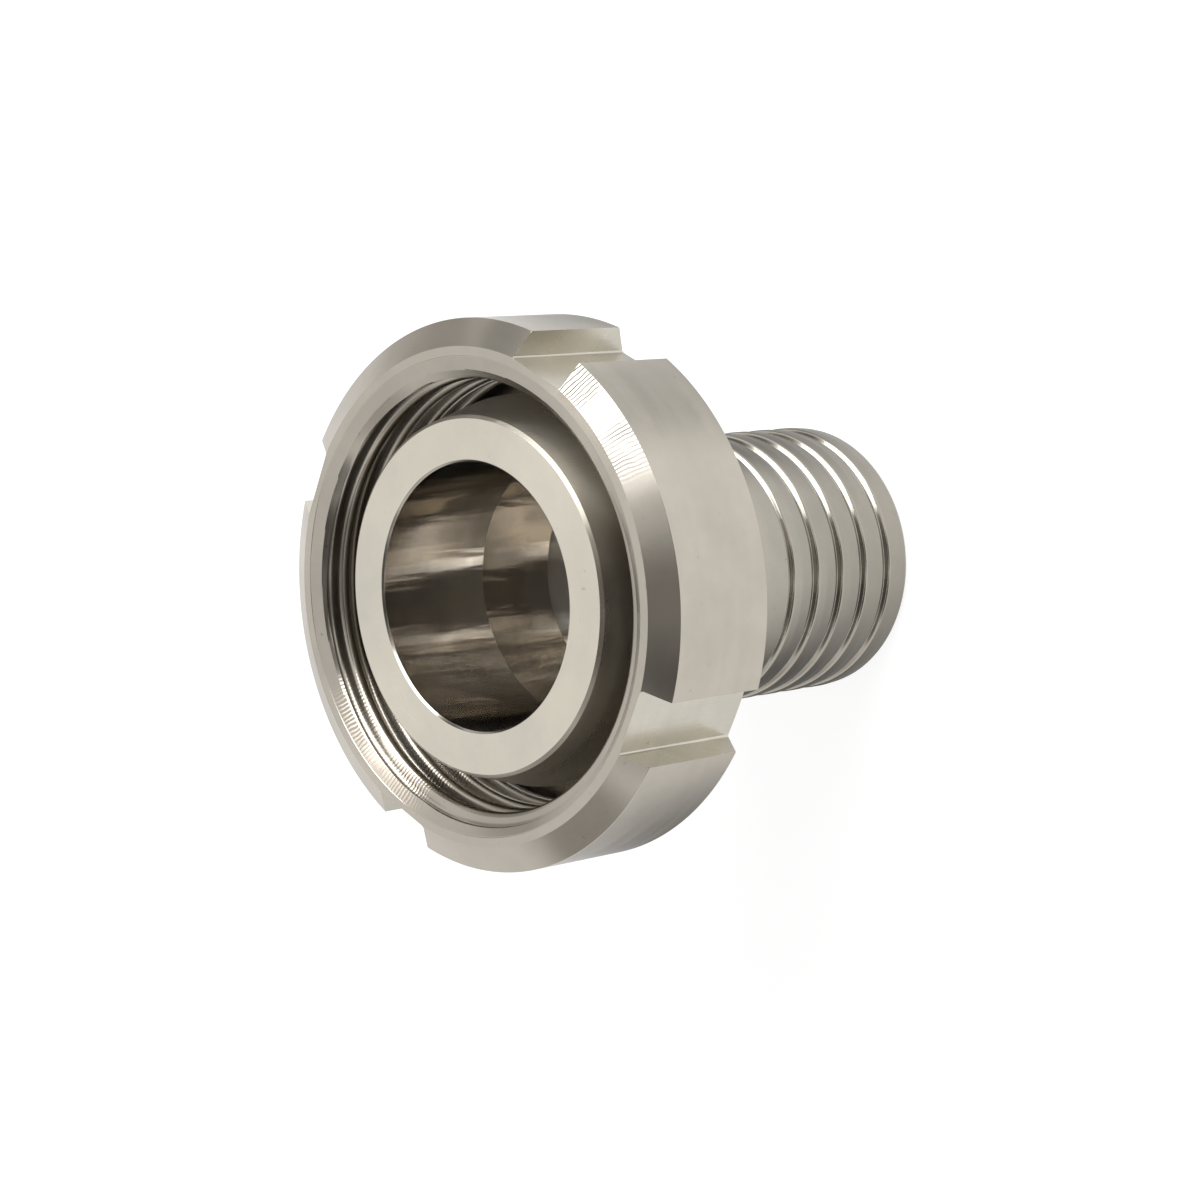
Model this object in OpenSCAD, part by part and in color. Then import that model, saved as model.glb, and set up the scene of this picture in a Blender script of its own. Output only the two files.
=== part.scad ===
// Hose connector: a one-piece hose tail with a tapered collar at its head,
// and the loose slotted nut that draws the collar onto a threaded pipe end.
// It stands on the end of the tail, its axis along Z, the nut's mouth upwards.

/* [Pipe and neck] */
// Bore of the pipe line, and of the collar and the neck behind it
pipe_bore = 38; // [30:0.5:60]
// Wall of the plain neck
neck_wall = 1.5; // [1.2:0.1:4]
// Length of the plain neck, from the last barb to the collar
neck_length = 30; // [26:0.5:80]
// Radius of the fillet between neck and collar
neck_fillet = 2; // [0.5:0.1:2.5]

/* [Hose barbs] */
// Number of lands that grip the hose
barb_count = 6; // [3:1:10]
// Distance from one barb to the next
barb_pitch = 5.4; // [4:0.1:9]
// Step from the neck down to the crest of a barb, on the radius
barb_step = 0.35; // [0:0.05:1]
// Fall of a barb's radius towards the tail's end
barb_fall = 0.3; // [0.1:0.05:0.6]
// Length of the cylindrical crest of a barb
barb_flat = 1.8; // [0.6:0.1:2.4]
// Depth of the groove behind a barb
groove_depth = 0.75; // [0.65:0.05:1.2]
// Width of the groove behind a barb
groove_w = 1.3; // [0.8:0.1:1.6]
// Wall of the tail under the crest of a barb
barb_wall = 2.65; // [2.2:0.05:5]
// Length of the nose, from the tail's end to the first groove
nose_length = 5.15; // [4.4:0.05:12]
// Radius of the rounding round the nose
nose_r = 1.8; // [0.5:0.1:1.9]
// Length of the land next to the neck
top_land = 2.95; // [2:0.05:6]

/* [Bore of the tail] */
// Depth of the pipe bore below the collar
bore_below_collar = 8.7; // [4:0.1:14]
// Length of the narrow bore that runs on above the barbs
bore_above_barbs = 9.3; // [4:0.1:11]
// Chamfer at both ends of the bore
bore_chamfer = 0.3; // [0.1:0.1:0.5]

/* [Collar] */
// Width of the ring on which the nut's seat pulls, past the nut's bore
seat_overlap = 3.1; // [2:0.1:6]
// Length of the collar along the axis
collar_length = 11; // [8:0.5:20]
// Angle of the collar's side to the axis
collar_taper = 15; // [5:1:20]
// Radius of the edge at the collar's back
collar_edge = 1.4; // [0.5:0.1:2]
// Bevel round the sealing face
face_bevel = 0.4; // [0.1:0.1:0.8]

/* [Union nut] */
// Radial play between the nut's bore and the neck
nut_play = 4.4; // [1:0.1:8]
// Radial gap between the collar and the crest of the thread
collar_gap = 2.6; // [1:0.1:6]
// How far the nut's mouth stands above the sealing face
nut_lead = 1.2; // [0.2:0.1:8]
// How far the nut slides forward before its seat meets the collar
nut_slide = 7.3; // [2:0.1:12]
// Wall of the nut outside the thread
nut_wall = 6.3; // [6:0.1:12]
// Thickness of the flange behind the seat
flange_t = 5; // [4:0.1:8]
// Width of the chamfer round the mouth, on the radius
chamfer_w = 3.9; // [2:0.1:4.2]
// Angle of both outer chamfers to the nut's faces
chamfer_angle = 30; // [20:1:35]
// Length of the chamfer at the back, along the axis
back_chamfer = 5.2; // [2:0.1:5.5]

/* [Wrench slots] */
// Number of slots for the hook wrench
slot_count = 4; // [3:1:6]
// Width of a slot
slot_w = 10; // [6:0.5:14]
// Radius in the corners of a slot
slot_corner = 0.6; // [0.2:0.1:1]
// Angle of the first slot
slot_angle = 45; // [0:5:90]

/* [Round thread] */
// Pitch of the thread, six turns to the inch
thread_pitch = 4.233; // [3.175:0.001:5.08]
// Angle of a flank to the plane across the axis
flank_angle = 15; // [10:1:20]
// Flat left on the crest
crest_flat = 0.3; // [0.2:0.05:0.5]
// Length of the relief groove between thread and seat
relief_length = 2.2; // [1.5:0.1:3]
// Depth of the relief groove past the root of the thread
relief_depth = 0.5; // [0.2:0.1:1]

/* [Hidden] */
eps = 0.01;
turn_fn = 180;

// The tail, built up from its end
neck_r = pipe_bore / 2 + neck_wall;
barb_r = neck_r - barb_step;
low_r = barb_r - barb_fall;
root_r = barb_r - groove_depth;
tail_bore_r = barb_r - barb_wall;
top_land_z = nose_length + (barb_count - 2) * barb_pitch + groove_w;
neck_z = top_land_z + top_land;
groove_lead = 0.15;
groove_floor = 0.45;
collar_z = neck_z + neck_length;
face_z = collar_z + collar_length;

// The collar and the nut's seat behind it
nut_bore_r = neck_r + nut_play;
collar_r = nut_bore_r + seat_overlap;
taper_length = collar_length - collar_edge;
face_r = collar_r - taper_length * tan(collar_taper);

// The nut, measured downwards from its mouth
mouth_z = face_z + nut_lead;
seat_depth = nut_lead + collar_length + nut_slide;
nut_length = seat_depth + flange_t;
crest_r = collar_r + collar_gap;
thread_depth = thread_pitch / 2;
thread_root_r = crest_r + thread_depth;
nut_r = thread_root_r + nut_wall;
rim_r = nut_r - chamfer_w;
relief_r = thread_root_r + relief_depth;
back_r = nut_r - back_chamfer / tan(chamfer_angle);
seat_bevel = 0.9;
seat_edge = 0.3;
seat_rim_r = crest_r + seat_edge;

// The mouth: a steep lead into the thread, then a shallow bevel to the rim
lead_in = 1.9;
mouth_step = 0.6;
mouth_bevel_w = 1.75;
lead_r = crest_r + lead_in - mouth_step;
mouth_r = lead_r + mouth_bevel_w;

// The slot's floor runs out where the chamfer meets the rim of the mouth
floor_r = sqrt(rim_r * rim_r - slot_w * slot_w / 4);
overcut = 1;

// One land with its sharp edge towards the nut, and the groove above it
module barb(bottom, top) {
    polygon([
        [tail_bore_r - eps, bottom], [low_r, bottom],
        [barb_r, top - barb_flat], [barb_r, top],
        [root_r, top + groove_w * groove_lead],
        [root_r, top + groove_w * (groove_lead + groove_floor)],
        [low_r, top + groove_w], [tail_bore_r - eps, top + groove_w]
    ]);
}

// The rounded end of the tail up to the first groove
module nose() {
    intersection() {
        barb(0, nose_length);
        union() {
            translate([0, nose_r]) square([neck_r, nose_length + groove_w]);
            square([low_r - nose_r, nose_length]);
            translate([low_r - nose_r, nose_r]) circle(nose_r, $fn = 48);
        }
    }
}

module barbs() {
    nose();
    for (i = [1 : barb_count - 2])
        barb(nose_length + (i - 1) * barb_pitch + groove_w, nose_length + i * barb_pitch);
    translate([tail_bore_r - eps, top_land_z]) square([barb_r - tail_bore_r + eps, top_land + eps]);
}

module collar() {
    polygon([
        [0, collar_z], [collar_r - collar_edge, collar_z],
        [collar_r - collar_edge, collar_z + collar_edge], [collar_r, collar_z + collar_edge],
        [face_r + face_bevel * tan(collar_taper), face_z - face_bevel],
        [face_r - face_bevel, face_z], [0, face_z]
    ]);
    translate([collar_r - collar_edge, collar_z + collar_edge]) circle(collar_edge, $fn = 48);
    difference() {
        translate([0, collar_z - neck_fillet]) square([neck_r + neck_fillet, neck_fillet + eps]);
        translate([neck_r + neck_fillet, collar_z - neck_fillet]) circle(neck_fillet, $fn = 48);
    }
}

// The way through: narrow under the barbs, then a slow taper to the pipe bore
module tail_bore() {
    polygon([
        [0, -eps], [tail_bore_r + bore_chamfer + eps, -eps], [tail_bore_r, bore_chamfer],
        [tail_bore_r, neck_z + bore_above_barbs],
        [pipe_bore / 2, collar_z - bore_below_collar],
        [pipe_bore / 2, face_z - bore_chamfer],
        [pipe_bore / 2 + bore_chamfer + eps, face_z + eps], [0, face_z + eps]
    ]);
}

module hose_tail() {
    color("#b9b4aa")
    rotate_extrude($fn = turn_fn)
    difference() {
        union() {
            barbs();
            translate([0, neck_z]) square([neck_r, neck_length]);
            collar();
        }
        tail_bore();
    }
}

// Half section of the nut before its slots and thread are cut, mouth at the top
module nut_section() {
    polygon([
        [mouth_r, 0], [rim_r, 0], [nut_r, -chamfer_w * tan(chamfer_angle)],
        [nut_r, back_chamfer - nut_length], [back_r, -nut_length],
        [nut_bore_r + bore_chamfer, -nut_length], [nut_bore_r, bore_chamfer - nut_length],
        [nut_bore_r, -seat_depth - 2 * seat_bevel], [nut_bore_r + seat_bevel, -seat_depth],
        [seat_rim_r, -seat_depth], [seat_rim_r, -seat_depth - relief_depth],
        [relief_r, -seat_depth - relief_depth], [relief_r, relief_length - seat_depth],
        [crest_r, relief_length - seat_depth + (relief_r - crest_r) * tan(flank_angle)],
        [crest_r, -lead_in], [lead_r, -mouth_step]
    ]);
}

module wrench_slot() {
    translate([0, 0, -nut_length - overcut])
    linear_extrude(nut_length + 2 * overcut)
    union() {
        translate([floor_r + slot_corner, -slot_w / 2]) square([nut_r, slot_w]);
        translate([floor_r, slot_corner - slot_w / 2]) square([nut_r, slot_w - 2 * slot_corner]);
        for (side = [-1, 1])
            translate([floor_r + slot_corner, side * (slot_w / 2 - slot_corner)])
                circle(slot_corner, $fn = 32);
    }
}

// Round thread: arcs at crest and root, joined by straight flanks.
arc_r = (thread_pitch / 2 - crest_flat / 2 - thread_depth * tan(flank_angle))
    / (2 * (cos(flank_angle) - (1 - sin(flank_angle)) * tan(flank_angle)));
arc_end = 90 - flank_angle;
half_open = thread_pitch / 2 - crest_flat / 2;
crest_half = [for (t = [0, 1]) let (a = t * arc_end)
    [half_open - arc_r * sin(a), crest_r + arc_r * (1 - cos(a))]];
root_half = [for (t = [1, 0.5]) let (a = t * arc_end)
    [arc_r * sin(a), thread_root_r - arc_r * (1 - cos(a))]];
upper_half = concat([[half_open, crest_r - overcut]], crest_half, root_half);
groove_profile = concat(
    upper_half, [[0, thread_root_r]],
    [for (i = [len(upper_half) - 1 : -1 : 0]) [-upper_half[i][0], upper_half[i][1]]]
);
thread_bottom = relief_length + half_open - seat_depth;
thread_count = floor((seat_depth - relief_length - lead_in) / thread_pitch);

// The grooves of the thread in the half section, one for each turn, without their lead
module thread_grooves() {
    for (i = [0 : thread_count])
        translate([0, thread_bottom + i * thread_pitch])
            polygon([for (p = groove_profile) [p[1], p[0]]]);
}

module union_nut() {
    color("#aaa69c")
    translate([0, 0, mouth_z])
    difference() {
        rotate_extrude($fn = turn_fn)
        difference() {
            nut_section();
            thread_grooves();
        }
        for (i = [0 : slot_count - 1])
            rotate([0, 0, slot_angle + i * 360 / slot_count]) wrench_slot();
    }
}

hose_tail();
union_nut();
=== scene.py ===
import bpy, bmesh, math
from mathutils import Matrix, Quaternion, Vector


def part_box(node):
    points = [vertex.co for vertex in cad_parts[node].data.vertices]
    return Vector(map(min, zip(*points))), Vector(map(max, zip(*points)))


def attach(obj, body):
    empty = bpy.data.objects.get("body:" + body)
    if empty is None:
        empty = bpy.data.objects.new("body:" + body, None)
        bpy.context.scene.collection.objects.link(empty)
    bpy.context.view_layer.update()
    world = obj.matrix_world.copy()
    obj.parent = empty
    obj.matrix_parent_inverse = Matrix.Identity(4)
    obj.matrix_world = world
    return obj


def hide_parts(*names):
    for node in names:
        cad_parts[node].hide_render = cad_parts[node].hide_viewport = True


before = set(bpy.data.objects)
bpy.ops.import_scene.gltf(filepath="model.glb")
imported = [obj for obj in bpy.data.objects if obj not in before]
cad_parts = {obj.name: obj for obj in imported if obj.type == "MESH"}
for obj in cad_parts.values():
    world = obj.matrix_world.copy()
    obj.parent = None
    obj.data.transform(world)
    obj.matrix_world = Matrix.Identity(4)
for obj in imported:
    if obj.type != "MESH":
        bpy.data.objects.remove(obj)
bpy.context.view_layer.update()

mm = 0.001
fullTurn = 2 * math.pi
turnSteps = 288                   # facets round the axis, the same on every turned surface
arcStep = math.radians(14)        # widest step in a rounded corner
fewestSteps = 3                   # steps in a corner that turns little
sharpAngle = math.radians(35)     # edges sharper than this stay sharp in the shading
tiny = 1e-6                       # points closer than this are one
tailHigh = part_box("hose_tail")[1]
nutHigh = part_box("union_nut")[1]
faceZ = tailHigh.z                # sealing face of the collar
mouthZ = nutHigh.z                # front face of the nut


def deselectAll():
    if bpy.context.object and bpy.context.object.mode != "OBJECT":
        bpy.ops.object.mode_set(mode="OBJECT")
    bpy.ops.object.select_all(action="DESELECT")


def makeActive(obj):
    deselectAll()
    obj.select_set(True)
    bpy.context.view_layer.objects.active = obj


def applyModifiers(obj):
    makeActive(obj)
    for m in list(obj.modifiers):
        bpy.ops.object.modifier_apply(modifier=m.name)


def direction(bearing, height):
    a, b = math.radians(bearing), math.radians(height)
    return Vector((math.cos(a) * math.cos(b), math.sin(a) * math.cos(b), math.sin(b)))


def addPlane(name, size):
    deselectAll()
    bpy.ops.mesh.primitive_plane_add(size=size, location=(0, 0, 0))
    obj = bpy.context.object
    obj.name = obj.data.name = name
    return obj


def startPoint(name, x, z):
    # a mesh of one point, left in edit mode to be extruded
    obj = addPlane(name, mm)
    bpy.ops.object.mode_set(mode="EDIT")
    bpy.ops.mesh.merge(type="CENTER")
    bpy.ops.transform.translate(value=(x, 0, z))
    return obj


def extrudePoint(x, z):
    bpy.ops.mesh.extrude_vertices_move(TRANSFORM_OT_translate={"value": (x, 0, z)})


def roundedOutline(corners):
    # each corner is radius, height and the size of its rounding
    points = []
    for i, (r, z, size) in enumerate(corners):
        here = Vector((r, z))
        if size == 0 or i in (0, len(corners) - 1):
            points.append(here)
            continue
        before = (Vector(corners[i - 1][:2]) - here).normalized()
        after = (Vector(corners[i + 1][:2]) - here).normalized()
        half = before.angle(after) / 2
        reach = size / math.tan(half)
        centre = here + (before + after).normalized() * (size / math.sin(half))
        start, end = here + before * reach - centre, here + after * reach - centre
        turn = start.angle_signed(end)
        steps = max(fewestSteps, math.ceil(abs(turn) / arcStep))
        for k in range(steps + 1):
            a = -turn * k / steps
            points.append(centre + Vector((start.x * math.cos(a) - start.y * math.sin(a),
                                           start.x * math.sin(a) + start.y * math.cos(a))))
    return points


def turned(name, corners, closed):
    # the half section is drawn corner by corner and spun round the axis
    outline = roundedOutline(corners)
    obj = startPoint(name, outline[0].x, outline[0].y)
    for a, b in zip(outline, outline[1:]):
        extrudePoint(b.x - a.x, b.y - a.y)
    bpy.ops.mesh.select_all(action="SELECT")
    if closed:
        bpy.ops.mesh.remove_doubles(threshold=tiny)
    bpy.ops.mesh.spin(steps=turnSteps, angle=fullTurn, center=(0, 0, 0), axis=(0, 0, 1))
    bpy.ops.mesh.select_all(action="SELECT")
    bpy.ops.mesh.remove_doubles(threshold=tiny)
    bpy.ops.mesh.normals_make_consistent(inside=False)
    bpy.ops.object.mode_set(mode="OBJECT")
    return obj


# materials

# tone and warm cloud into each other; bands are rings of other shine, rings and fineRings bump;
# chatter holds ripples (count to a turn, slant, bearing, half width, strength);
# streaks are cuts along the axis (per metre across, per metre along, depth)
steel = {
    "tone": (0.435, 0.405, 0.350), "warm": (0.510, 0.462, 0.400),
    "clouds": (75.0, 4.0, 0.6), "cloudEnds": (0.32, 0.68),
    "specks": (900.0, 2.0), "speckEnds": (0.72, 0.78), "speckLevel": 0.8,
    "roughness": 0.20, "spread": 0.04, "bands": 420, "bandsRound": 1.6, "bandEnds": (0.3, 0.7),
    "fineRings": 2600, "ringsRound": 0.7, "rings": 0.2, "ringDepth": 0.03 * mm,
    "grain": 0.97, "grainTurn": 0.25,
    "chatter": [], "chatterDepth": 0.02 * mm, "streaks": None, "streakStrength": 0.5,
}
# what bends the ripples of chatter (noise, how far) and breaks them up (rings per metre, patches, level)
ripples = {"wander": (500.0, 1.0), "shift": 7.0, "rings": 600, "patches": 9.0, "level": 1.6}


def emptyTree(owner):
    owner.use_nodes = True
    owner.node_tree.nodes.clear()
    return owner.node_tree


def newMaterial(name):
    mat = bpy.data.materials.new(name)
    tree = emptyTree(mat)
    out = tree.nodes.new("ShaderNodeOutputMaterial")
    shader = tree.nodes.new("ShaderNodeBsdfPrincipled")
    tree.links.new(shader.outputs[0], out.inputs[0])
    return mat, tree, shader


def node(tree, kind, inputs=(), **settings):
    made = tree.nodes.new("ShaderNode" + kind)
    for key, value in settings.items():
        setattr(made, key, value)
    for key, value in dict(inputs).items():
        if isinstance(value, bpy.types.NodeSocket):
            tree.links.new(value, made.inputs[key])
        else:
            made.inputs[key].default_value = value
    return made


def math2(tree, operation, a, b=0.0):
    return node(tree, "Math", {0: a, 1: b}, operation=operation).outputs[0]


def ramp(tree, value, start, end, low=0.0, high=1.0, kind="LINEAR"):
    inputs = {0: value, 1: start, 2: end, 3: low, 4: high}
    return node(tree, "MapRange", inputs, interpolation_type=kind).outputs[0]


def noise(tree, vector, scale, detail, roughness=0.5):
    inputs = {"Vector": vector, "Scale": scale, "Detail": detail, "Roughness": roughness}
    return node(tree, "TexNoise", inputs).outputs[0]


def latheFrame(tree):
    # path along the turned profile, direction from the axis, angle round it and the plain spot
    spot = node(tree, "TexCoord").outputs["Object"]
    x, y, z = node(tree, "SeparateXYZ", {0: spot}).outputs
    flat = node(tree, "CombineXYZ", {0: x, 1: y}).outputs[0]
    radius = node(tree, "VectorMath", {0: flat}, operation="LENGTH").outputs["Value"]
    radiusShare = 0.83    # with 1, a slope of 45 degrees would show no rings
    path = math2(tree, "ADD", z, math2(tree, "MULTIPLY", radius, radiusShare))
    outwards = node(tree, "VectorMath", {0: flat}, operation="NORMALIZE").outputs[0]
    return path, outwards, math2(tree, "ARCTAN2", y, x), spot


def ringNoise(tree, lathe, perMetre, around, detail=2.0):
    # rings that change slowly on their way round
    path, outwards = lathe[:2]
    circle = node(tree, "VectorMath", {0: outwards, "Scale": around}, operation="SCALE").outputs[0]
    x, y = node(tree, "SeparateXYZ", {0: circle}).outputs[:2]
    where = node(tree, "CombineXYZ", {0: math2(tree, "MULTIPLY", path, perMetre), 1: x, 2: y})
    return noise(tree, where.outputs[0], 1.0, detail)


def chatterMarks(tree, lathe, count, slant, bearing, width):
    # ripples that the tool left on one side, bent and broken up a little
    path, outwards, angle, spot = lathe
    phase = math2(tree, "ADD", math2(tree, "MULTIPLY", angle, count), math2(tree, "MULTIPLY", path, slant))
    wander = math2(tree, "MULTIPLY", noise(tree, spot, *ripples["wander"]), ripples["shift"])
    wave = math2(tree, "SINE", math2(tree, "ADD", phase, wander))
    facing = node(tree, "VectorMath", {0: outwards, 1: tuple(direction(bearing, 0))},
                  operation="DOT_PRODUCT").outputs["Value"]
    edge, full = math.cos(math.radians(width)), math.cos(math.radians(width / 3))
    mask = ramp(tree, facing, edge, full, kind="SMOOTHSTEP")
    patchy = ringNoise(tree, lathe, ripples["rings"], ripples["patches"], 1.0)
    mask = math2(tree, "MULTIPLY", mask, math2(tree, "MULTIPLY", patchy, ripples["level"]))
    return math2(tree, "MULTIPLY", wave, mask)


def steelShader(name, look):
    mat, tree, shader = newMaterial(name)
    lathe = latheFrame(tree)
    spot = lathe[3]
    patina = ramp(tree, noise(tree, spot, *look["clouds"]), *look["cloudEnds"])
    colour = node(tree, "MixRGB", {0: patina, 1: (*look["tone"], 1), 2: (*look["warm"], 1)})
    specks = ramp(tree, noise(tree, spot, *look["specks"]), *look["speckEnds"], 1.0, look["speckLevel"])
    toned = node(tree, "MixRGB", {0: 1.0, 1: colour.outputs[0], 2: specks}, blend_type="MULTIPLY")
    low, high = look["roughness"] - look["spread"], look["roughness"] + look["spread"]
    bands = ringNoise(tree, lathe, look["bands"], look["bandsRound"])
    shine = ramp(tree, bands, *look["bandEnds"], low, high)
    fine = ringNoise(tree, lathe, look["fineRings"], look["ringsRound"], 3.0)
    bumps = [(fine, look["rings"], look["ringDepth"])]
    for *marks, strength in look["chatter"]:
        bumps.append((chatterMarks(tree, lathe, *marks), strength, look["chatterDepth"]))
    if look["streaks"]:
        across, along, depth = look["streaks"]
        stretched = node(tree, "Mapping", {0: spot, "Scale": (across, across, along)}).outputs[0]
        bumps.append((noise(tree, stretched, 1.0, 3.0), look["streakStrength"], depth))
    normal = shader.inputs["Normal"]
    for height, strength, depth in reversed(bumps):    # from the shader down to the first layer
        bump = node(tree, "Bump", {"Height": height, "Strength": strength, "Distance": depth})
        tree.links.new(bump.outputs[0], normal)
        normal = bump.inputs["Normal"]
    tree.links.new(toned.outputs[0], shader.inputs["Base Color"])
    tree.links.new(shine, shader.inputs["Roughness"])
    shader.inputs["Metallic"].default_value = 1.0
    if look["grain"]:
        shader.inputs["Anisotropic"].default_value = look["grain"]
        shader.inputs["Anisotropic Rotation"].default_value = look["grainTurn"]
        grain = node(tree, "Tangent", direction_type="RADIAL", axis="Z")
        tree.links.new(grain.outputs[0], shader.inputs["Tangent"])
    return mat


def finishPiece(obj, body, node, looks, zone):
    makeActive(obj)
    bpy.ops.object.shade_smooth_by_angle(angle=sharpAngle)
    weighted = obj.modifiers.new("evenNormals", "WEIGHTED_NORMAL")
    weighted.keep_sharp = True
    applyModifiers(obj)
    obj.data.materials.clear()
    for name, look in looks.items():
        obj.data.materials.append(steelShader(name, look))
    order = list(looks)
    for face in obj.data.polygons:
        face.material_index = order.index(zone(face.center, math.hypot(face.center.x, face.center.y)))
    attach(obj, body)
    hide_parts(node)


# hose tail

tail = {
    "boreR": 19 * mm, "boreEdge": 0.3 * mm,
    "neckR": 20.5 * mm, "collarR": 28.0 * mm, "faceR": 25.43 * mm, "faceBevel": 0.4 * mm,
    "collarLength": 11 * mm, "collarEdge": 1.4 * mm, "neckFillet": 2 * mm,
    "neckLength": 30 * mm, "topLand": 2.95 * mm,
    "lands": 6, "pitch": 5.4 * mm, "crestR": 20.15 * mm, "lowR": 19.85 * mm, "rootR": 19.4 * mm,
    "landFlat": 1.8 * mm, "landRound": 0.88 * mm, "noseR": 1.8 * mm,
    "grooveW": 1.3 * mm, "rootDown": 0.64,    # how far down its width a groove is deepest
    "shoulder": 0.7 * mm, "edgeRound": 0.4 * mm, "rootRound": 0.16 * mm,
    "endBoreR": 17.5 * mm, "boreBelowCollar": 8.7 * mm, "boreAboveBarbs": 9.3 * mm,
    "crisp": 0.06 * mm, "soft": 0.22 * mm,
    "boreFromZ": 0.2 * mm, "collarFromR": 23 * mm, "slack": 0.05 * mm,    # where another steel starts
}
# one steel throughout, in lit and shaded copies: the zones' tones hold painted light and shade
tailLooks = {
    # darker tone: painted shade on the outside of the tail
    "tailSteel": {
        **steel, "tone": (0.355, 0.334, 0.289), "warm": (0.425, 0.392, 0.336),
        "roughness": 0.18, "spread": 0.02, "grain": 0.8, "rings": 0.12,
    },
    # lighter tone: painted light in the bore
    "boreSteel": {
        **steel, "tone": (0.60, 0.575, 0.54), "warm": (0.66, 0.605, 0.52),
        "roughness": 0.12, "spread": 0.03, "rings": 0.1, "bands": 260, "streaks": (420, 30, 0.15 * mm),
    },
    # lighter tone: painted light on the sealing face
    "sealSteel": {
        **steel, "tone": (0.58, 0.545, 0.475), "warm": (0.65, 0.605, 0.515),
        "roughness": 0.24, "grain": 0.6,
    },
    # darker tone: painted shade on the collar, which deepens the dark gap under the nut
    "collarSteel": {
        **steel, "tone": (0.340, 0.316, 0.272), "warm": (0.420, 0.375, 0.310),
        "roughness": 0.30, "rings": 0.1, "chatter": [(340, 0, 40, 30, 0.6)],
    },
}


def tailOutline():
    t = tail
    collarZ = faceZ - t["collarLength"]
    neckZ = collarZ - t["neckLength"]
    taper = (t["collarR"] - t["faceR"]) / (t["collarLength"] - t["collarEdge"])
    outer = [
        (t["boreR"] + t["boreEdge"], faceZ, t["crisp"]),
        (t["faceR"] - t["faceBevel"], faceZ, t["crisp"]),
        (t["faceR"] + t["faceBevel"] * taper, faceZ - t["faceBevel"], t["crisp"]),
        (t["collarR"] + t["collarEdge"] * taper, collarZ, t["collarEdge"]),
        (t["neckR"], collarZ, t["neckFillet"]),
        (t["neckR"], neckZ, t["crisp"]),
        (t["crestR"], neckZ, t["crisp"]),
    ]
    top = neckZ - t["topLand"]
    outer.append((t["crestR"], top, t["edgeRound"]))
    for i in range(t["lands"] - 1):
        low = top - t["grooveW"]                  # the land below starts here
        outer += [
            (t["rootR"], top - t["grooveW"] * t["rootDown"], t["rootRound"]),
            (t["crestR"], low, t["shoulder"]),
            (t["crestR"], low - t["landFlat"], t["landRound"]),
        ]
        if i < t["lands"] - 2:
            top = low - t["pitch"] + t["grooveW"]
            outer.append((t["lowR"], top, t["edgeRound"]))
    outer += [
        (t["lowR"], 0, t["noseR"]),
        (t["endBoreR"] + t["boreEdge"], 0, t["crisp"]),
        (t["endBoreR"], t["boreEdge"], t["crisp"]),
        (t["endBoreR"], neckZ + t["boreAboveBarbs"], t["soft"]),
        (t["boreR"], collarZ - t["boreBelowCollar"], t["soft"]),
        (t["boreR"], faceZ - t["boreEdge"], t["crisp"]),
        (t["boreR"] + t["boreEdge"], faceZ, 0),
    ]
    return outer


def tailZone(centre, radius):
    if radius < tail["boreR"] + tail["slack"] and centre.z > tail["boreFromZ"]:
        return "boreSteel"
    if centre.z > faceZ - tail["slack"]:
        return "sealSteel"
    return "collarSteel" if radius > tail["collarFromR"] else "tailSteel"


# union nut

nut = {
    "outerR": nutHigh.x, "length": 24.5 * mm, "rimR": 35.12 * mm, "mouthR": 33.65 * mm,
    "chamferH": 2.25 * mm, "backR": 30.0 * mm, "backH": 5.2 * mm,
    "lipH": 0.09 * mm, "lipW": 0.144 * mm, "lipRound": 0.03 * mm,
    "boreR": 24.9 * mm, "boreEdge": 0.48 * mm, "seatDepth": 19.5 * mm, "seatRimR": 30.9 * mm,
    "seatBevelW": 0.9 * mm, "seatBevelH": 1.8 * mm,
    "reliefR": 33.22 * mm, "reliefH": 2.2 * mm, "reliefStep": 0.5 * mm,
    "leadIn": 1.9 * mm, "mouthStep": 0.6 * mm, "leadR": 31.9 * mm,
    "crisp": 0.12 * mm, "soft": 0.2 * mm, "slack": 0.1 * mm,
}
thread = {
    "pitch": 4.233 * mm, "crestR": 30.6 * mm, "rootR": 32.7165 * mm, "flank": math.radians(15),
    "crestFlat": 0.3 * mm, "pointsPerTurn": 24, "weld": 2 * tiny, "sliver": 1e-7,
}
slots = {
    "count": 4, "width": 10 * mm, "floorR": 34.76 * mm, "angle": math.radians(45),
    "corner": 0.35 * mm, "cornerSteps": 5, "edge": 0.1 * mm, "edgeSteps": 2,
    "overcut": 4 * mm, "slack": 0.01 * mm,
}
nutLooks = {
    "nutSteel": {**steel, "roughness": 0.17},
    # lighter tone: painted light in the slots
    "slotSteel": {
        **steel, "tone": (0.55, 0.525, 0.460), "warm": (0.63, 0.590, 0.510),
        "roughness": 0.30, "grain": 0, "rings": 0.0, "streaks": (1700, 20, 0.03 * mm),
    },
    # darker tone: painted shade in the thread, which deepens the dark gap round the collar
    "threadSteel": {
        **steel, "tone": (0.385, 0.358, 0.310), "warm": (0.450, 0.408, 0.352), "roughness": 0.18,
        "rings": 0.03, "fineRings": 1300, "chatter": [(330, 0, 208, 26, 0.35)],
    },
    "chamferSteel": {**steel, "roughness": 0.17, "chatter": [(370, 2600, 28, 20, 1.0)]},
}


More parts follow.
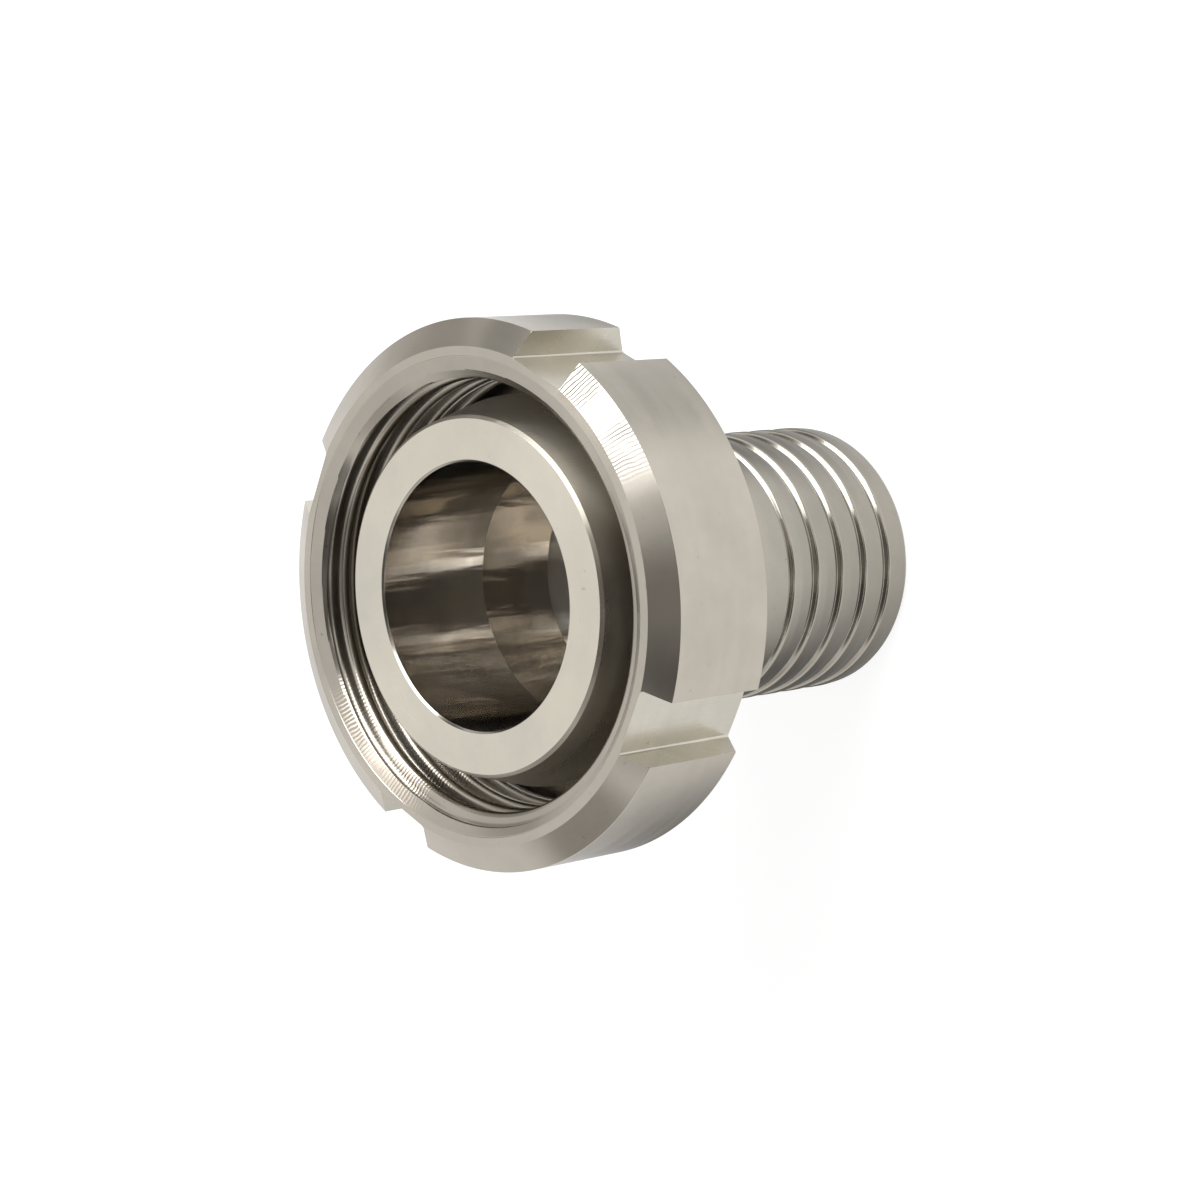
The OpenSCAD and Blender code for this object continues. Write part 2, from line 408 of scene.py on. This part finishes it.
def nutOutline():
    n = nut
    back, seat = mouthZ - n["length"], mouthZ - n["seatDepth"]
    return [
        (n["mouthR"], mouthZ - n["lipH"], 0),
        (n["mouthR"] + n["lipH"], mouthZ - n["lipH"], n["lipRound"]),
        (n["mouthR"] + n["lipW"], mouthZ, n["lipRound"]),
        (n["rimR"], mouthZ, n["crisp"]),
        (n["outerR"], mouthZ - n["chamferH"], n["crisp"]),
        (n["outerR"], back + n["backH"], n["crisp"]),
        (n["backR"], back, n["soft"]),
        (n["boreR"] + n["boreEdge"], back, n["crisp"]),
        (n["boreR"], back + n["boreEdge"], n["crisp"]),
        (n["boreR"], seat - n["seatBevelH"], n["crisp"]),
        (n["boreR"] + n["seatBevelW"], seat, n["crisp"]),
        (n["seatRimR"], seat, n["crisp"]),
        (n["seatRimR"], seat - n["reliefStep"], n["crisp"]),
        (n["reliefR"], seat - n["reliefStep"], n["soft"]),
        (n["reliefR"], seat + n["reliefH"], 0),
    ]


def threadRadius(angle, z):
    # arcs at root and crest, joined by straight flanks
    t = thread
    f = t["flank"]
    depth = t["rootR"] - t["crestR"]
    arc = (t["pitch"] / 2 - t["crestFlat"] / 2 - depth * math.tan(f)) \
        / (2 * (math.cos(f) - (1 - math.sin(f)) * math.tan(f)))
    turns = (z - mouthZ) / t["pitch"] - angle / fullTurn
    u = abs(turns - round(turns)) * t["pitch"]                  # from the middle of the groove
    v = t["pitch"] / 2 - t["crestFlat"] / 2 - u                 # from the edge of the crest
    if u <= arc * math.cos(f):
        return t["rootR"] - arc + math.sqrt(arc * arc - u * u)
    if v <= 0:
        return t["crestR"]
    if v <= arc * math.cos(f):
        return t["crestR"] + arc - math.sqrt(arc * arc - v * v)
    return t["rootR"] - arc * (1 - math.sin(f)) - (u - arc * math.cos(f)) / math.tan(f)


def leadRadius(z):
    # the cone that leads a male end into the thread
    n = nut
    along = (z - mouthZ + n["leadIn"]) / (n["leadIn"] - n["mouthStep"])
    return thread["crestR"] + max(0, along) * (n["leadR"] - thread["crestR"])


def selectEdges(obj, wanted):
    # in edit mode, selects the edges for which wanted is true
    bpy.ops.mesh.select_mode(type="EDGE")
    bpy.ops.mesh.select_all(action="DESELECT")
    bm = bmesh.from_edit_mesh(obj.data)
    for e in bm.edges:
        if wanted(e):
            e.select = True
    bm.select_flush_mode()
    bmesh.update_edit_mesh(obj.data)


def threadSurface():
    # a grid that climbs with the thread, cut off level at both ends
    t, n = thread, nut
    low, high = mouthZ - n["seatDepth"] + n["reliefH"], mouthZ - n["mouthStep"]
    rows = t["pointsPerTurn"]
    obj = startPoint("thread", t["crestR"], low - t["pitch"])
    for i in range(rows):
        extrudePoint(0, t["pitch"] / rows)
    bpy.ops.object.mode_set(mode="OBJECT")
    climb = obj.modifiers.new("climb", "SCREW")
    climb.screw_offset = t["pitch"]
    climb.iterations = math.ceil((high - low) / t["pitch"]) + 1
    climb.steps = climb.render_steps = turnSteps
    climb.use_merge_vertices = False
    applyModifiers(obj)
    for v in obj.data.vertices:
        angle = math.atan2(v.co.y, v.co.x)
        z = min(max(v.co.z, low), high)
        r = max(threadRadius(angle, z), leadRadius(z))
        v.co = (r * math.cos(angle), r * math.sin(angle), z)
    bpy.ops.object.mode_set(mode="EDIT")
    bpy.ops.mesh.select_all(action="SELECT")
    bpy.ops.mesh.remove_doubles(threshold=t["weld"])
    bpy.ops.mesh.dissolve_degenerate(threshold=t["sliver"])
    for height, radius, newZ in ((high, n["mouthR"], mouthZ - n["lipH"]), (low, n["reliefR"], low)):
        selectEdges(obj, lambda e: e.is_boundary and all(abs(v.co.z - height) < tiny for v in e.verts))
        bpy.ops.mesh.extrude_edges_move()
        bm = bmesh.from_edit_mesh(obj.data)
        for v in bm.verts:
            if v.select:
                k = radius / math.hypot(v.co.x, v.co.y)
                v.co = (v.co.x * k, v.co.y * k, newZ)
        bmesh.update_edit_mesh(obj.data)
    bpy.ops.object.mode_set(mode="OBJECT")
    return obj


def slotAngles():
    return [slots["angle"] + i * fullTurn / slots["count"] for i in range(slots["count"])]


def onSlot(centre):
    s = slots
    for a in slotAngles():
        out = centre.x * math.cos(a) + centre.y * math.sin(a)
        side = centre.y * math.cos(a) - centre.x * math.sin(a)
        if out > s["floorR"] - s["slack"] and abs(side) < s["width"] / 2 + s["slack"]:
            return True
    return False


def slotCutter(angle):
    # a block with its two inner upright edges rounded
    s, n = slots, nut
    depth = n["outerR"] - s["floorR"] + s["overcut"]
    deselectAll()
    middle = (s["floorR"] + depth / 2, 0, mouthZ - n["length"] / 2)
    bpy.ops.mesh.primitive_cube_add(size=1, location=middle,
                                    scale=(depth, s["width"], n["length"] + s["overcut"]))
    obj = bpy.context.object
    bpy.ops.object.transform_apply(location=True, rotation=True, scale=True)
    bpy.ops.object.mode_set(mode="EDIT")

    def innerUpright(e):
        upright = abs(e.verts[0].co.z - e.verts[1].co.z) > n["length"]
        return upright and all(v.co.x < s["floorR"] + mm for v in e.verts)

    selectEdges(obj, innerUpright)
    bpy.ops.mesh.bevel(offset=s["corner"], segments=s["cornerSteps"])
    bpy.ops.mesh.select_all(action="SELECT")
    bpy.ops.transform.rotate(value=-angle, orient_axis="Z", center_override=(0, 0, 0))
    bpy.ops.object.mode_set(mode="OBJECT")
    return obj


def softenSlotEdges(obj):
    # the edges between a slot's faces and the turned ones
    def slotEdge(e):
        if len(e.link_faces) != 2 or e.calc_length() <= tiny:
            return False
        first, second = (onSlot(face.calc_center_median()) for face in e.link_faces)
        return first != second

    makeActive(obj)
    bpy.ops.object.mode_set(mode="EDIT")
    selectEdges(obj, slotEdge)
    bpy.ops.mesh.bevel(offset=slots["edge"], segments=slots["edgeSteps"], clamp_overlap=True)
    bpy.ops.object.mode_set(mode="OBJECT")


def makeNut():
    body = turned("unionNut", nutOutline(), False)
    inner = threadSurface()
    makeActive(body)
    inner.select_set(True)
    bpy.ops.object.join()
    bpy.ops.object.mode_set(mode="EDIT")
    bpy.ops.mesh.select_all(action="SELECT")
    bpy.ops.mesh.remove_doubles(threshold=thread["weld"])
    bpy.ops.mesh.normals_make_consistent(inside=False)
    bpy.ops.object.mode_set(mode="OBJECT")
    for angle in slotAngles():
        cutter = slotCutter(angle)
        cut = body.modifiers.new("slot", "BOOLEAN")
        cut.operation = "DIFFERENCE"
        cut.solver = "EXACT"
        cut.object = cutter
        applyModifiers(body)
        bpy.data.objects.remove(cutter)
    softenSlotEdges(body)
    return body


def nutZone(centre, radius):
    if onSlot(centre):
        return "slotSteel"
    if radius < nut["mouthR"] - nut["slack"] and centre.z > mouthZ - nut["seatDepth"] + nut["slack"]:
        return "threadSteel"
    onChamfer = radius > nut["rimR"] and centre.z > mouthZ - nut["chamferH"]
    return "chamferSteel" if onChamfer else "nutSteel"


# light, floor and camera

view = {
    "lens": 95.3, "sensor": 36, "place": (0.3213, -0.0655, 0.3727),
    "azimuth": 78.94, "elevation": 44.79, "roll": -97.28,
}
aim = Vector((0, 0, 0.05))    # lamp and cards point here
background = {"seen": 1.0, "lighting": 0.35}
keyLamp = {
    "bearing": 62, "height": 38, "distance": 0.7, "size": 0.6,
    "brightness": 4.6, "colour": (0.95, 0.98, 1.0),
}
cards = {"distance": 0.6, "margin": 2.6, "fade": (0.2, 0.5), "colour": (1.0, 0.96, 0.93, 1)}
table = {"size": 6, "level": 0.86, "colour": (0.35, 0.35, 0.35, 1), "roughness": 0.9}

# the room as the photo's metal shows it, on cards that only the metal sees, dark but for the last one:
# bearing, height, half width (degrees), level
roomCards = [
    (-60, 55, 18, 0.05), (-88, 44, 10, 0.10), (-22, 50, 20, 0.18), (5, 54, 13, 0.12), (-50, 76, 17, 0.3),
    (103, 24, 11, 0.14), (132, 22, 16, 0.45), (-128, 38, 16, 0.4), (-50, 14, 18, 0.04), (-15, 12, 14, 0.1),
    (-11.5, 45, 12, 0.05), (116, 61, 10, 6.0),
]

# painted shade and light on the table, which only the metal sees: place, where the spot is full, where it
# ends, level
paintedFloorShadeAndLight = [
    # painted shadow beside the part and round it
    (-0.025, -0.045, 0.022, 0.072, 0.1), (-0.016, 0.046, 0.026, 0.056, 0.12),
    (0.055, 0.080, 0.015, 0.055, 0.5), (0, 0, 0.020, 0.060, 0.78),
    # painted shade under the tail, and painted glints that stand for the light entering its open end
    (0, 0, 0.0175, 0.0190, 0.2), (0.003, 0.0105, 0.003, 0.0045, 90),
    (-0.001, -0.008, 0.0005, 0.0011, 260), (-0.002, -0.0138, 0.0014, 0.0030, 130),
]


def backgroundWorld():
    # white to the camera and the metal, dimmer as a light
    world = bpy.data.worlds.new("studio")
    bpy.context.scene.world = world
    tree = emptyTree(world)
    rays = node(tree, "LightPath")
    seen = math2(tree, "MAXIMUM", rays.outputs["Is Camera Ray"], rays.outputs["Is Glossy Ray"])
    level = ramp(tree, seen, 0.0, 1.0, background["lighting"], background["seen"])
    white = node(tree, "Background", {0: (1, 1, 1, 1), 1: level})
    node(tree, "OutputWorld", {0: white.outputs[0]})


def softLamp(name):
    data = bpy.data.lights.new(name, "AREA")
    data.shape = "SQUARE"
    data.size = keyLamp["size"]
    data.energy = keyLamp["brightness"] * math.pi * keyLamp["size"] * keyLamp["size"]
    data.color = keyLamp["colour"]
    lamp = bpy.data.objects.new(name, data)
    bpy.context.scene.collection.objects.link(lamp)
    lamp.location = aim + direction(keyLamp["bearing"], keyLamp["height"]) * keyLamp["distance"]
    lamp.rotation_euler = (aim - lamp.location).to_track_quat("-Z", "Y").to_euler()


def softCard(name, bearing, height, spread, level):
    # a card whose edge fades out, so that what the metal shows of it has no hard border
    size = cards["distance"] * math.tan(math.radians(spread)) * cards["margin"]
    card = addPlane(name, size)
    card.location = aim + direction(bearing, height) * cards["distance"]
    card.rotation_euler = (aim - card.location).to_track_quat("Z", "Y").to_euler()
    mat = bpy.data.materials.new(name)
    tree = emptyTree(mat)
    spot = node(tree, "TexCoord").outputs["Object"]
    away = node(tree, "VectorMath", {0: spot}, operation="LENGTH").outputs["Value"]
    fade = ramp(tree, away, *(size * share for share in cards["fade"]), kind="SMOOTHSTEP")
    glow = node(tree, "Emission", {0: cards["colour"], 1: level})
    clear = node(tree, "BsdfTransparent")
    mix = node(tree, "MixShader", {0: fade, 1: glow.outputs[0], 2: clear.outputs[0]})
    node(tree, "OutputMaterial", {0: mix.outputs[0]})
    card.data.materials.append(mat)
    card.visible_camera = card.visible_diffuse = card.visible_shadow = False


def paleFloor():
    # white to the camera, with a faint shadow; the metal sees the painted shade and light spots of
    # paintedFloorShadeAndLight on it
    floor = addPlane("floor", table["size"])
    mat, tree, shader = newMaterial("paleFloor")
    rays = node(tree, "LightPath")
    spot = node(tree, "TexCoord").outputs["Object"]
    level = table["level"]
    for x, y, full, end, spotLevel in paintedFloorShadeAndLight:
        away = node(tree, "VectorMath", {0: spot, 1: (x, y, 0)}, operation="DISTANCE").outputs["Value"]
        level = math2(tree, "MULTIPLY", ramp(tree, away, full, end, spotLevel, kind="SMOOTHSTEP"), level)
    forMetal = math2(tree, "MULTIPLY", rays.outputs["Is Glossy Ray"], level)
    forCamera = math2(tree, "MULTIPLY", rays.outputs["Is Camera Ray"], table["level"])
    shader.inputs["Base Color"].default_value = table["colour"]
    shader.inputs["Roughness"].default_value = table["roughness"]
    shader.inputs["Emission Color"].default_value = (1, 1, 1, 1)
    tree.links.new(math2(tree, "ADD", forCamera, forMetal), shader.inputs["Emission Strength"])
    floor.data.materials.append(mat)


def photoCamera():
    data = bpy.data.cameras.new("camera")
    data.lens = view["lens"]
    data.sensor_width = view["sensor"]
    camera = bpy.data.objects.new("camera", data)
    bpy.context.scene.collection.objects.link(camera)
    side, up, roll = (math.radians(view[k]) for k in ("azimuth", "elevation", "roll"))
    back = Vector((math.sin(side) * math.cos(up), -math.cos(side) * math.cos(up), math.sin(up)))
    camera.location = view["place"]
    camera.rotation_mode = "QUATERNION"
    camera.rotation_quaternion = (-back).to_track_quat("-Z", "Y") @ Quaternion((0, 0, 1), roll)
    bpy.context.scene.camera = camera


print("hose tail")
hoseTail = turned("hoseTail", tailOutline(), True)
finishPiece(hoseTail, "hose_tail", "hose_tail", tailLooks, tailZone)

print("union nut")
unionNut = makeNut()
finishPiece(unionNut, "union_nut", "union_nut", nutLooks, nutZone)

print("floor, light and camera")
paleFloor()
backgroundWorld()
softLamp("keyLamp")
for number, card in enumerate(roomCards):
    softCard("roomCard%d" % (number + 1), *card)
photoCamera()
for name, piece in (("hose_tail", hoseTail), ("union_nut", unionNut)):
    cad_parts[name].data.materials.clear()
    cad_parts[name].data.materials.append(piece.data.materials[0])

bpy.context.scene.view_settings.view_transform = "Standard"
